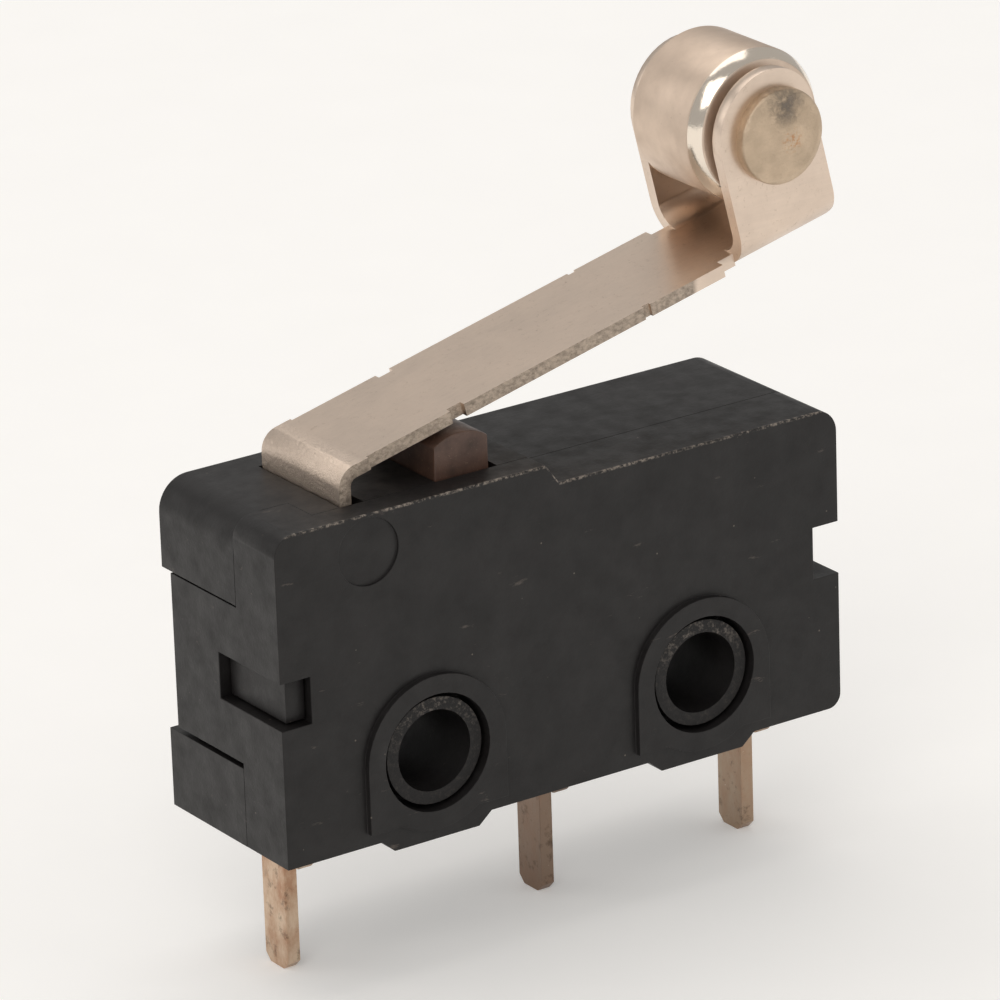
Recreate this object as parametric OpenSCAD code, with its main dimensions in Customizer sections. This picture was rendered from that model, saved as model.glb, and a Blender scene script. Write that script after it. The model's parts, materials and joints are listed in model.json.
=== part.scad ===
// Lever micro switch: a snap-action switch with a folded steel lever and a roller.
// The origin is midway between the two mounting holes, at half the moulded thickness.
// X runs from the hinge end to the far end, -Y is the cover face and +Z is the lever side.

/* [Moulded body] */
// Length of the moulded body
body_length = 19.8; // [18.6:0.1:21.6]
// Thickness of the moulded body, without the raised pads
body_thickness = 6.2; // [6:0.1:7.4]
// Height of the body at the hinge end, from the base
body_height = 10.2; // [10:0.1:12]
// Drop of the top past the plunger
top_drop = 0.62; // [0.3:0.02:0.8]
// Length of the sloping step in the top
ramp_run = 0.45; // [0.2:0.05:0.8]
// Distance from the hinge end to the sloping step
ramp_inset = 9.35; // [9.2:0.05:10.4]
// Corner radius of the rear shell above the hinge end
hinge_corner_r = 1; // [0.5:0.05:1.2]
// Corner radius of the cover above the hinge end
cover_corner_r = 0.65; // [0.3:0.05:1]
// Corner radius above the far end
far_corner_r = 0.75; // [0.4:0.05:1]
// Corner radius below the far end
base_corner_r = 0.45; // [0.2:0.05:0.8]

/* [Walls] */
// Thickness of the front plate of the cover
cover_plate = 0.94; // [0.85:0.01:1.1]
// Thickness of the rear wall of the case
rear_wall = 0.94; // [0.85:0.01:1.1]
// Distance from the front face to the parting line of the shells
parting_depth = 2.2; // [1.8:0.05:2.4]
// Thickness of the end wall at the hinge end
hinge_end_wall = 1.36; // [1.3:0.01:1.5]
// Thickness of the wall at the far end
far_end_wall = 1.5; // [1.35:0.01:1.6]
// Thickness of the floor
floor_wall = 1; // [0.8:0.05:1.2]
// Thickness of the roof
roof_wall = 1; // [0.9:0.05:1.1]
// Distance from the hinge end to where the roof of the case reaches the cover
roof_tongue_inset = 1.9; // [1.6:0.05:2.2]

/* [Mounting holes] */
// Distance between the two mounting holes
hole_pitch = 9.5; // [9:0.1:10.2]
// Height of the mounting holes above the base
hole_height = 2.4; // [2.3:0.05:2.6]
// Diameter of the mounting holes
hole_d = 2.5; // [2:0.1:2.8]
// Outer diameter of each boss at the front face
boss_d = 3.3; // [3:0.05:3.5]
// Outer diameter of each boss inside the case
boss_root_d = 4; // [3.8:0.1:4.2]
// Radial gap between a boss and its opening in the cover
boss_gap = 0.16; // [0.05:0.01:0.25]
// Diameter of the round ejector mark in the cover
ejector_d = 2.05; // [1.5:0.05:2.4]
// Depth of the ejector mark
ejector_depth = 0.08; // [0.04:0.01:0.12]
// Distance of the ejector mark from the hinge end
ejector_inset = 3.17; // [2.6:0.01:4]
// Distance of the ejector mark from the top
ejector_drop = 1.15; // [1.1:0.01:1.4]
// Radius of the raised pad around each hole
pad_r = 2.4; // [2.2:0.05:2.6]
// Height of the raised pads
pad_rise = 0.2; // [0.1:0.05:0.3]
// Height above the base at which the pads end
pad_base = 0.4; // [0.1:0.05:0.6]
// Length of each foot where it meets the base
stand_top = 3.85; // [3.4:0.05:4.2]
// Length of each foot at its bottom
stand_bottom = 2.95; // [2.4:0.05:3.2]
// Height of the feet under the base
stand_height = 0.38; // [0.2:0.02:0.6]

/* [Snap tabs] */
// Thickness of the snap tabs of the cover
tab_sheet = 0.93; // [0.8:0.01:0.95]
// Height of the lower edge of the tabs above the base
tab_bottom = 2.62; // [2.4:0.02:3]
// Height of the upper edge of the tabs above the base
tab_top = 7.45; // [7:0.05:7.6]
// Distance from the tips of the tabs to the rear face
tab_setback = 0.46; // [0.2:0.02:1]
// Play between a tab and its pocket, on the inner face and at the top
tab_play = 0.05; // [0.02:0.01:0.08]
// Play below the tabs
tab_play_below = 0.16; // [0.05:0.01:0.3]
// Height of the lower edge of the window in the tabs
window_bottom = 4.31; // [4:0.01:4.6]
// Height of the window in the hinge-end tab
window_height = 1.44; // [1.2:0.02:1.7]
// Height of the window in the far-end tab
far_window_height = 1.64; // [1.2:0.02:1.9]
// Depth of the windows from the front face
window_depth = 3.28; // [2.8:0.02:3.8]
// How far the snap hooks stand back from the end faces
hook_setback = 0.34; // [0.2:0.02:0.5]
// Distance from the front face to the tip of the hinge-end hook
hook_front = 0.3; // [0.15:0.05:0.6]
// Distance from the front face to the tip of the far-end hook
far_hook_front = 1.6; // [1.4:0.1:2]
// Play around a hook in its window
hook_play = 0.08; // [0.04:0.01:0.12]

/* [Lever] */
// Thickness of the lever sheet
lever_sheet = 0.4; // [0.3:0.05:0.5]
// Angle of the arm above the top of the body at rest
arm_angle = 13.3; // [11:0.1:16]
// Distance from the hinge end to the outer face of the lever foot
foot_inset = 2.93; // [2.9:0.01:3.2]
// Height of the outer corner of the bend above the body
arm_rise = 0.99; // [0.8:0.01:1.4]
// Radius inside the bend of the foot
foot_bend_r = 0.25; // [0.15:0.05:0.4]
// Room for the swing of the foot in its slot
foot_swing_room = 0.32; // [0.2:0.02:0.5]
// Depth of the hinge axis below the top of the body
hinge_depth = 0.8; // [0.6:0.05:0.9]
// Height of the hinge lugs
lug_height = 0.5; // [0.4:0.05:0.55]
// How far the lugs reach into the shells
lug_reach = 0.35; // [0.2:0.05:0.45]
// Play between the lugs and their round pockets
lug_play = 0.06; // [0.03:0.01:0.1]
// Play beside the foot, the plunger and the lug ends
side_play = 0.11; // [0.05:0.01:0.15]
// How much narrower the arm is than the foot, at each edge
arm_inset = 0.1; // [0:0.02:0.2]
// Distance along the arm from the bend to the shear notches
shear_notch_at = 4.05; // [3:0.05:6]
// Length of the shear notches
shear_notch_length = 0.5; // [0.3:0.05:0.8]
// Depth of the shear notches
shear_notch_depth = 0.2; // [0.05:0.05:0.35]
// Distance along the arm from the bend to the small shear marks
shear_mark_at = 11.1; // [8:0.1:13]

/* [Roller] */
// Distance along the arm from the bend to the roller pin
pin_reach = 16.66; // [14:0.01:18]
// Height of the roller pin above the arm
pin_rise = 3.21; // [2.9:0.01:3.6]
// Diameter of the roller
roller_d = 4.7; // [4:0.02:5.2]
// Width of the roller
roller_width = 3.2; // [2.6:0.1:3.4]
// Depth of the chamfer on the ends of the roller
roller_chamfer_r = 0.3; // [0.1:0.05:0.5]
// Length of the chamfer along the roller
roller_chamfer_w = 0.45; // [0.1:0.05:0.8]
// Gap between the roller and the front ear
roller_gap = 0.4; // [0.1:0.02:0.5]
// Gap between the roller and the rear ear, which it has floated against
roller_gap_back = 0.12; // [0.06:0.02:0.4]
// Diameter of the roller pin
pin_d = 2; // [1.4:0.1:2.2]
// Radial running clearance of the roller on its pin
pin_clearance = 0.03; // [0.02:0.01:0.08]
// Diameter of the two rivet heads
rivet_head_d = 2.9; // [2.5:0.05:3.2]
// Thickness of the rivet heads
rivet_head_height = 0.42; // [0.3:0.02:0.6]
// Rounding of the rim of the rivet heads
rivet_rim_r = 0.16; // [0.05:0.01:0.2]
// Height of the ears above the pin
ear_over = 2.04; // [1.8:0.02:2.2]
// Length of the ears from the pin toward the body, and the radius of their top there
ear_back = 2; // [1.6:0.02:2.1]
// Length of the ears from the pin toward the tip, and the radius of their top there
ear_front = 1.5; // [1.5:0.02:2]
// Radius inside the bends of the ears
ear_bend_r = 0.7; // [0.3:0.05:0.8]
// Rounding of the lower tip of the ears
ear_tip_r = 0.5; // [0.2:0.05:0.7]
// Length of the relief notch before the ears
relief_length = 0.6; // [0.3:0.05:1]
// Depth of the relief notch before the ears
relief_depth = 0.3; // [0.1:0.05:0.5]

/* [Plunger] */
// Distance from the hinge end to the middle of the plunger
plunger_inset = 7.14; // [7:0.02:7.3]
// Width of the plunger head along the body
plunger_width = 1.88; // [1.6:0.02:2.1]
// Radius of the crown of the plunger
crown_r = 1.65; // [1.3:0.05:3]
// Gap between the crown and the lever at rest
crown_gap = 0.26; // [0.15:0.01:0.35]
// Play of the plunger on the hinge side of its hole
plunger_play = 0.06; // [0.03:0.01:0.1]
// Play of the plunger on the far side of its hole
plunger_play_far = 0.2; // [0.05:0.01:0.25]
// Length of the plunger's collar along the body
collar_length = 3.2; // [2.8:0.1:3.4]
// Thickness of the plunger's collar
collar_height = 0.85; // [0.6:0.05:0.9]
// Gap between the collar and the roof
collar_gap = 0.05; // [0.03:0.01:0.1]
// Radius of the nose under the collar
nose_r = 0.8; // [0.6:0.05:0.9]
// Width of the nose across the body
nose_width = 2.4; // [1.6:0.1:3]
// Gap between the nose and the inner lever
nose_gap = 0.08; // [0.05:0.01:0.12]

/* [Terminals] */
// Thickness of the terminal sheet
terminal_sheet = 0.45; // [0.35:0.01:0.5]
// Width of the strips inside the body
strip_width = 3.2; // [3:0.1:3.5]
// Width of the solder pins
pin_width = 1.2; // [0.8:0.05:1.4]
// Length of the solder pins below the base
pin_length = 4.45; // [3:0.05:6]
// Chamfer at the tips of the solder pins
pin_chamfer = 0.25; // [0.1:0.05:0.35]
// Distance of the shoulder edge from the middle of the pin
shoulder_reach = 1.6; // [1.3:0.05:1.7]
// Length of the shoulder below the base
shoulder_length = 0.95; // [0.5:0.05:1.4]
// Rounding of the shoulder
shoulder_r = 0.35; // [0.1:0.05:0.5]
// Distance from the middle of the body to the middle terminal
middle_terminal_x = 0.75; // [0.5:0.05:1.2]
// Play between the terminals and their slots
slot_play = 0.02; // [0.01:0.01:0.04]
// Radius inside the bends of the terminals
strip_bend_r = 0.2; // [0.1:0.05:0.3]
// Height of the ribs that grip the terminals
grip_height = 1.4; // [0.8:0.1:2]
// Thickness of the ribs that grip the terminals
grip_rib = 0.5; // [0.4:0.05:0.6]

/* [Snap mechanism] */
// Gap between the bosses and the middle terminal's arm
boss_clear = 0.15; // [0.1:0.05:0.3]
// Extra height of the common arm over the middle terminal's arm
common_arm_lift = 0.1; // [0:0.05:0.2]
// Distance from the plunger to the bearing face of the fork
fork_offset = 2.21; // [2.1:0.01:2.5]
// Height of the blade's pivot above the top of the common arm
pivot_rise = 1.1; // [1:0.05:1.3]
// Height of the fork above the pivot
fork_over = 0.2; // [0.15:0.05:0.3]
// Depth of the knife edges of the blade in their grooves
knife_depth = 0.05; // [0.03:0.01:0.1]
// Play at the bottom of the knife-edge grooves
knife_play = 0.03; // [0.02:0.01:0.05]
// Width of the slot in the fork and in the blade
fork_slot = 1.9; // [1.6:0.05:2]
// Thickness of the inner lever
inner_sheet = 0.4; // [0.3:0.02:0.45]
// Distance from the hinge end to the pivot of the inner lever
inner_pivot_inset = 2.3; // [2.1:0.05:2.6]
// Depth of the inner lever below the roof
inner_depth = 1.6; // [1.5:0.05:1.9]
// Distance from the plunger to the spring tab of the inner lever
spring_tab_offset = 1.06; // [1:0.02:1.2]
// Length of the spring tab below the inner lever
spring_tab_length = 1.15; // [1:0.05:1.3]
// Thickness of the moving blade
blade_sheet = 0.3; // [0.2:0.02:0.36]
// Length of the blade from its pivot to the contact
blade_reach = 6.1; // [5.8:0.05:6.4]
// Length of the slot in the blade
blade_slot_length = 3.5; // [3.3:0.05:3.6]
// Radius of the contacts
contact_r = 0.65; // [0.5:0.05:0.75]
// Height of the fixed contacts at their middle
contact_height = 0.32; // [0.25:0.01:0.4]
// Height of the dome of the fixed contacts
contact_dome = 0.12; // [0.05:0.01:0.15]
// Height of the upper head of the moving contact
moving_head = 0.28; // [0.15:0.01:0.35]
// Width of the sheet around the contacts
contact_margin = 0.15; // [0.1:0.01:0.3]
// Radius of the contact rivets' shanks
contact_shank_r = 0.3; // [0.2:0.05:0.4]
// Gap between the moving contact and the upper contact at rest
contact_gap = 0.02; // [0.01:0.01:0.04]
// Travel of the moving contact
contact_travel = 0.55; // [0.5:0.01:0.65]
// Outer diameter of the snap spring
spring_d = 1.3; // [1:0.05:1.4]
// Diameter of the spring wire
spring_wire = 0.18; // [0.12:0.01:0.2]
// Number of turns of the snap spring
spring_turns = 11; // [8:1:12]
// Pitch of the turns, as a multiple of the wire
spring_pitch = 1.15; // [1.05:0.01:1.3]
// Length of the hooked tails of the spring
spring_tail = 0.55; // [0.4:0.05:0.7]
// Play of the spring wire in its holes
spring_play = 0.12; // [0.05:0.01:0.15]
// Height of the spring's hole above the end of the spring tab
anchor_rise = 0.3; // [0.25:0.01:0.4]
// Distance of the spring's hole from the end of the slot in the blade
anchor_margin = 0.4; // [0.3:0.02:0.5]

/* [Hidden] */
$fn = 64;

// Overshoot of a cutting shape past the face that it opens
over = 0.5;

// Faces of the moulded body
left = -body_length / 2;
right = body_length / 2;
front = -body_thickness / 2;
back = body_thickness / 2;
base = -hole_height;
top = base + body_height;
low_top = top - top_drop;
parting = front + parting_depth;
ramp_x = left + ramp_inset;

// Faces of the space inside
room_left = left + hinge_end_wall;
room_right = right - far_end_wall;
room_front = front + cover_plate;
room_back = back - rear_wall;
room_floor = base + floor_wall;
room_top = top - roof_wall;
room_low_top = low_top - roof_wall;
room_mid = (room_front + room_back) / 2;

// Places of the snap tabs
pocket_depth = tab_sheet + tab_play;
pocket_bottom = base + tab_bottom - tab_play_below;
pocket_top = base + tab_top + tab_play;

// Places of the lever: the corner is where the outer faces of foot and arm would meet
foot_x = left + foot_inset;
hinge = [foot_x + lever_sheet / 2, top - hinge_depth];
foot_half = (room_back - room_front) / 2 - side_play;
arm_half = foot_half - arm_inset;
lever_corner = [foot_x, top + arm_rise];
arm_dir = [cos(arm_angle), sin(arm_angle)];
arm_up = [-sin(arm_angle), cos(arm_angle)];
function on_arm(along, above) = lever_corner + along * arm_dir + above * arm_up;
lug_pocket_r = norm([lever_sheet, lug_height]) / 2 + lug_play;

// Places of the roller
roller_axis = on_arm(pin_reach, pin_rise);
ear_inner = (roller_width + roller_gap + roller_gap_back) / 2;
roller_shift = (roller_gap - roller_gap_back) / 2;
ear_outer = ear_inner + lever_sheet;
floor_half = ear_inner - ear_bend_r;
ear_start = pin_reach - ear_back;
ear_end = pin_reach + ear_front;
ear_top = pin_rise + ear_over;

// Places of the plunger
plunger_x = left + plunger_inset;
crown_z = lever_corner.y
    + ((plunger_x - foot_x) * arm_dir.y - lever_sheet - crown_gap - crown_r) / arm_dir.x;
collar_top = room_top - collar_gap;

// Places of the inner lever
inner_pivot = [left + inner_pivot_inset, room_top - inner_depth];
inner_top = inner_pivot.y + inner_sheet / 2;
spring_tab_x = plunger_x + spring_tab_offset;
nose_z = inner_top + nose_gap + nose_r;
inner_lug_pocket_r = inner_sheet * sqrt(2) / 2 + lug_play;

// Places of the terminals
com_x = room_left + slot_play;
nc_x = room_right - slot_play - terminal_sheet;
no_x = middle_terminal_x - terminal_sheet / 2;
pin_tip = base - pin_length;
no_arm_top = base + hole_height + boss_root_d / 2 + boss_clear + terminal_sheet;
com_arm_top = no_arm_top + common_arm_lift;

// Places of the blade and the contacts
fork_x = plunger_x + fork_offset;
blade_pivot = [fork_x - knife_depth, com_arm_top + pivot_rise];
blade_top = blade_pivot.y + blade_sheet / 2;
contact_x = blade_pivot.x + blade_reach;
no_contact_top = no_arm_top + contact_height;
moving_bottom = no_contact_top + contact_travel;
moving_top = blade_top + moving_head;
nc_arm_bottom = moving_top + contact_gap + contact_height;
contact_shelf = contact_r + contact_margin;

// Places of the snap spring: it runs from the tab of the inner lever to the blade
spring_anchor = [spring_tab_x, inner_pivot.y - spring_tab_length + anchor_rise];
spring_foot = [blade_pivot.x + blade_slot_length + anchor_margin, blade_top + blade_sheet / 2];
spring_span = norm(spring_foot - spring_anchor);
spring_tilt = atan2(spring_foot.y - spring_anchor.y, spring_foot.x - spring_anchor.x);
spring_hole_r = spring_wire / 2 + spring_play;
hook_start = spring_anchor.x - spring_tab_x - inner_sheet;
lead_in = 2 * spring_wire;

// Middle line of the spring wire, along X from the tab of the inner lever
coil_r = (spring_d - spring_wire) / 2;
coil_pitch = spring_wire * spring_pitch;
coil_start = (spring_span - spring_turns * coil_pitch) / 2 + spring_hole_r;
coil_end = coil_start + coil_pitch * spring_turns;
coil_steps = 14;
spring_path = concat(
    [[hook_start, 0, spring_tail], [hook_start, 0, spring_play], [hook_start + spring_play, 0, 0],
     [coil_start - lead_in, 0, 0]],
    [for (i = [0 : spring_turns * coil_steps])
        let (a = i * 360 / coil_steps)
            [coil_start + coil_pitch * i / coil_steps, coil_r * sin(a), coil_r * cos(a)]],
    [[coil_end + lead_in, 0, 0], [spring_span - spring_play, 0, 0],
     [spring_span, 0, -spring_play], [spring_span, 0, -spring_tail]]);

// Colours
moulding = [0.13, 0.125, 0.12];
plunger_brown = [0.33, 0.25, 0.2];
nickel = [0.72, 0.68, 0.62];
roller_steel = [0.76, 0.73, 0.69];
tinned_brass = [0.6, 0.54, 0.47];
silver = [0.8, 0.8, 0.78];
copper = [0.72, 0.46, 0.28];
spring_steel = [0.5, 0.5, 0.5];

// Stands a flat shape drawn in X and Z upright, from y0 to y1
module along_y(y0, y1) {
    translate([0, y1, 0])
        rotate([90, 0, 0])
            linear_extrude(y1 - y0)
                children();
}

// Stands a flat shape drawn in Y and Z upright, from x0 to x1
module along_x(x0, x1) {
    translate([x0, 0, 0])
        rotate([90, 0, 90])
            linear_extrude(x1 - x0)
                children();
}

// Round bar across the body
module bar_y(at, r, y0, y1) {
    translate([at.x, y1, at.y])
        rotate([90, 0, 0])
            cylinder(h = y1 - y0, r = r);
}

// Flat rectangle between two corners
module area(from, to) {
    translate(from)
        square(to - from);
}

// What a corner rounded to radius r loses; into points from the corner into the shape
module corner_loss(corner, r, into) {
    translate(corner)
        difference() {
            translate([into.x > 0 ? -over : -r, into.y > 0 ? -over : -r])
                square(r + over);
            translate(r * into)
                circle(r);
        }
}

// Edge view of a bend: it starts at the Y axis, heading along X, and turns about the origin
module bend(inner_r, sheet, turn) {
    far = 2 * (inner_r + sheet);
    difference() {
        circle(inner_r + sheet);
        circle(inner_r);
        area([-far, -far], [0, far]);
        rotate(turn)
            area([0, -far], [far, far]);
    }
}

function turn_of(d, e) = atan2(d.x * e.y - d.y * e.x, d.x * e.x + d.y * e.y);
function turn_at(path, i) = turn_of(path[i] - path[i - 1], path[i + 1] - path[i]);
function bend_trim(path, i, mid_r) =
    i == 0 || i == len(path) - 1 ? 0 : mid_r * tan(abs(turn_at(path, i)) / 2);

// Edge view of a strip folded along a middle line, with round bends
module folded_strip(path, sheet, inner_r) {
    run = path[1] - path[0];
    translate(path[0])
        rotate(atan2(run.y, run.x))
            folded_from(0, path, sheet, inner_r);
}

// The flat run after point i, the bend at its end and all that follows
module folded_from(i, path, sheet, inner_r) {
    mid_r = inner_r + sheet / 2;
    flat = norm(path[i + 1] - path[i]) - bend_trim(path, i, mid_r) - bend_trim(path, i + 1, mid_r);
    area([0, -sheet / 2], [flat, sheet / 2]);
    if (i < len(path) - 2) {
        turn = turn_at(path, i + 1);
        inward = sign(turn) * mid_r;
        translate([flat, inward]) {
            bend(inner_r, sheet, turn);
            rotate(turn)
                translate([0, -inward])
                    folded_from(i + 1, path, sheet, inner_r);
        }
    }
}

// Side outline of the two feet under the mounting holes
module stands() {
    for (side = [-1, 1])
        translate([side * hole_pitch / 2, base])
            polygon([[-stand_top / 2, 0], [-stand_bottom / 2, -stand_height],
                     [stand_bottom / 2, -stand_height], [stand_top / 2, 0]]);
}

// Side outline of a shell
module body_outline(near_r) {
    difference() {
        polygon([[left, base], [right, base], [right, low_top], [ramp_x + ramp_run, low_top],
                 [ramp_x, top], [left, top]]);
        corner_loss([left, top], near_r, [1, -1]);
        corner_loss([right, low_top], far_corner_r, [-1, -1]);
        corner_loss([right, base], base_corner_r, [-1, 1]);
    }
    stands();
}

// Side outline of the space inside
module room_outline() {
    polygon([[room_left, room_floor], [room_right, room_floor], [room_right, room_low_top],
             [ramp_x + ramp_run, room_low_top], [ramp_x, room_top], [room_left, room_top]]);
}

// Side outline of the part of the roof where the case reaches the cover
module roof_tongue_outline() {
    area([left + roof_tongue_inset, room_top], [ramp_x, top]);
}

// Side outlines of the two tab pockets, from the end faces inward
module pocket_outlines() {
    area([left - over, pocket_bottom], [left + pocket_depth, pocket_top]);
    area([right - pocket_depth, pocket_bottom], [right + over, pocket_top]);
}

// Side outlines of the thin end walls behind the tabs
module thin_wall_outlines() {
    area([left + pocket_depth, pocket_bottom], [room_left, pocket_top]);
    area([room_right, pocket_bottom], [right - pocket_depth, pocket_top]);
}

// Slots in the floor for the shoulders of the three terminals
module terminal_slots() {
    for (x = [com_x, no_x, nc_x])
        translate([x - slot_play, -shoulder_reach - slot_play, base - over])
            cube([terminal_sheet + 2 * slot_play,
                  shoulder_reach + pin_width / 2 + 2 * slot_play, floor_wall + 2 * over]);
}

// Round pockets for the lugs of the lever and of the inner lever
module lug_pockets() {
    reach = lug_reach + side_play;
    bar_y(hinge, lug_pocket_r, room_front - reach, room_front + over);
    bar_y(hinge, lug_pocket_r, room_back - over, room_back + reach);
    bar_y(inner_pivot, inner_lug_pocket_r, room_front - reach, room_front + over);
    bar_y(inner_pivot, inner_lug_pocket_r, room_back - over, room_back + reach);
}

// Ribs on the floor that grip the terminals
module grip_ribs() {
    gap = terminal_sheet + 2 * slot_play;
    for (x = [com_x - slot_play + gap, no_x - slot_play - grip_rib, no_x - slot_play + gap,
              nc_x - slot_play - grip_rib])
        translate([x, 0, room_floor]) {
            translate([0, -shoulder_reach, 0])
                cube([grip_rib, shoulder_reach + over, grip_height]);
            translate([0, parting, -over])
                cube([grip_rib, room_back - parting + over / 2, grip_height + over]);
        }
}

// Hook that holds a tab, in its window
module snap_hook(x0, x1, height, y0) {
    translate([x0, y0, base + window_bottom + hook_play])
        cube([x1 - x0, front + window_depth - hook_play - y0, height - 2 * hook_play]);
}

// Rear shell with the bosses, the roof and the snap hooks
module case() color(moulding) {
    difference() {
        union() {
            difference() {
                along_y(parting, back)
                    body_outline(hinge_corner_r);
                along_y(parting - over, room_back)
                    room_outline();
                along_y(parting - over, back + over)
                    pocket_outlines();
            }
            along_y(room_front, parting)
                roof_tongue_outline();
            along_y(room_front, parting)
                thin_wall_outlines();
            for (side = [-1, 1])
                bar_y([side * hole_pitch / 2, 0], boss_root_d / 2, room_front, back - rear_wall / 2);
            grip_ribs();
        }
        terminal_slots();
        lug_pockets();
        // Slot for the lever foot, wide enough for its swing
        translate([foot_x - plunger_play, room_front - over, room_top - over])
            cube([lever_sheet + plunger_play + foot_swing_room, room_back - room_front + over,
                  roof_wall + 2 * over]);
        // Hole for the plunger
        translate([plunger_x - plunger_width / 2 - plunger_play, room_front - over, room_top - over])
            cube([plunger_width + plunger_play + plunger_play_far,
                  room_back - room_front + over, roof_wall + 2 * over]);
        for (side = [-1, 1])
            bar_y([side * hole_pitch / 2, 0], hole_d / 2, front - over, back + over);
    }
    for (side = [-1, 1])
        difference() {
            bar_y([side * hole_pitch / 2, 0], boss_d / 2, front, room_front);
            bar_y([side * hole_pitch / 2, 0], hole_d / 2, front - over, room_front + over);
        }
    snap_hook(left + hook_setback, left + pocket_depth, window_height, front + hook_front);
    snap_hook(right - pocket_depth, right - hook_setback, far_window_height, front + far_hook_front);
}

// Outline of the raised pad around a mounting hole
module pad_outline() {
    circle(pad_r);
    area([-pad_r, base + pad_base], [pad_r, 0]);
}

// Front shell: a plate with a skirt, raised pads and two snap tabs
module cover() color(moulding) {
    difference() {
        union() {
            along_y(front, room_front)
                body_outline(cover_corner_r);
            along_y(room_front, parting)
                difference() {
                    body_outline(cover_corner_r);
                    room_outline();
                    roof_tongue_outline();
                    thin_wall_outlines();
                    area([left + tab_sheet, pocket_bottom], [room_left + over, pocket_top]);
                    area([room_right - over, pocket_bottom], [right - tab_sheet, pocket_top]);
                }
            along_y(parting, back - tab_setback) {
                area([left, base + tab_bottom], [left + tab_sheet, base + tab_top]);
                area([right - tab_sheet, base + tab_bottom], [right, base + tab_top]);
            }
            for (side = [-1, 1])
                along_y(front - pad_rise, front)
                    translate([side * hole_pitch / 2, 0])
                        pad_outline();
        }
        for (side = [-1, 1]) {
            bar_y([side * hole_pitch / 2, 0], boss_d / 2 + boss_gap, front - over, room_front + over);
            bar_y([side * hole_pitch / 2, 0], boss_root_d / 2 + tab_play, room_front, parting + over);
        }
        along_y(front - over, front + window_depth) {
            area([left - over, base + window_bottom],
                 [left + pocket_depth + tab_play, base + window_bottom + window_height]);
            area([right - tab_sheet, base + window_bottom],
                 [right + over, base + window_bottom + far_window_height]);
        }
        bar_y([left + ejector_inset, top - ejector_drop], ejector_d / 2, front - over,
              front + ejector_depth);
        terminal_slots();
        lug_pockets();
    }
}

// Moulded button under the lever: crowned head, collar under the roof and rounded nose
module plunger() color(plunger_brown) {
    head_half = plunger_width / 2;
    along_y(room_mid - foot_half, room_mid + foot_half) {
        intersection() {
            area([plunger_x - head_half, collar_top], [plunger_x + head_half, crown_z + crown_r]);
            union() {
                translate([plunger_x, crown_z])
                    circle(crown_r);
                area([plunger_x - crown_r, collar_top - over], [plunger_x + crown_r, crown_z]);
            }
        }
        area([plunger_x - collar_length / 2, collar_top - collar_height],
             [plunger_x + collar_length / 2, collar_top]);
    }
    along_y(room_mid - nose_width / 2, room_mid + nose_width / 2) {
        translate([plunger_x, nose_z])
            circle(nose_r);
        area([plunger_x - nose_r, nose_z], [plunger_x + nose_r, collar_top]);
    }
}

// Puts children into the frame of the arm: X along it, Z up from its upper face
module on_arm_frame() {
    translate([lever_corner.x, room_mid, lever_corner.y])
        rotate([0, -arm_angle, 0])
            children();
}

// Cuts the same notch into both edges of the arm
module edge_notches(along0, along1, from_half) {
    for (side = [-1, 1])
        translate([along0, side > 0 ? from_half : -from_half - 2 * over, -lever_sheet - over])
            cube([along1 - along0, 2 * over, lever_sheet + 2 * over]);
}

// One ear of the roller fork, folded up from the arm
module ear(side) {
    along_x(ear_start, ear_end)
        translate([side * floor_half, ear_bend_r])
            mirror([side > 0 ? 0 : 1, 0])
                bend(ear_bend_r, lever_sheet, 90);
    along_y(side > 0 ? ear_inner : -ear_outer, side > 0 ? ear_outer : -ear_inner)
        difference() {
            area([ear_start, ear_bend_r], [ear_end, ear_top]);
            corner_loss([ear_start, ear_top], ear_back, [1, -1]);
            corner_loss([ear_end, ear_top], ear_front, [-1, -1]);
            translate([pin_reach, pin_rise])
                circle(pin_d / 2);
        }
}

// Folded sheet lever: hinge lugs, foot, arm and the fork that holds the roller
module lever() color(nickel) {
    half = lever_sheet / 2;
    lug_half = (room_back - room_front) / 2 + lug_reach;
    lug_top = hinge.y + lug_height / 2;
    // Middle line of the sheet in the frame of the arm
    fold = [(1 - arm_dir.y) / arm_dir.x * half, -half];
    foot_length = lever_corner.y - hinge.y + lug_height / 2;
    foot_end = fold - (foot_length - half * (1 - arm_dir.y) / arm_dir.x) * [arm_dir.y, arm_dir.x];
    difference() {
        on_arm_frame()
            difference() {
                along_y(-lug_half, lug_half)
                    folded_strip([[ear_end, -half], fold, foot_end], lever_sheet, foot_bend_r);
                edge_notches(foot_bend_r + 2 * lever_sheet, ear_end + over, arm_half);
                edge_notches(shear_notch_at, shear_notch_at + shear_notch_length,
                             arm_half - shear_notch_depth);
                edge_notches(shear_mark_at, shear_mark_at + shear_notch_length / 2,
                             arm_half - shear_notch_depth / 2);
                edge_notches(ear_start - relief_length, ear_start, arm_half - relief_depth);
                edge_notches(ear_start, ear_end + over, floor_half);
            }
        // Above its lugs the foot is narrower
        for (side = [-1, 1])
            translate([foot_x - over, room_mid + (side > 0 ? foot_half : -foot_half - 2 * over), lug_top])
                cube([ear_end, 2 * over, ear_end]);
    }
    on_arm_frame()
        difference() {
            for (side = [-1, 1])
                ear(side);
            along_y(-ear_outer - over, ear_outer + over)
                corner_loss([ear_end, -lever_sheet], ear_tip_r, [-1, 1]);
        }
}

// Half outline of one rivet head: radius first, then distance from the roller's middle
module rivet_head_outline() {
    difference() {
        area([0, ear_outer], [rivet_head_d / 2, ear_outer + rivet_head_height]);
        corner_loss([rivet_head_d / 2, ear_outer + rivet_head_height], rivet_rim_r, [-1, -1]);
    }
}

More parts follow.
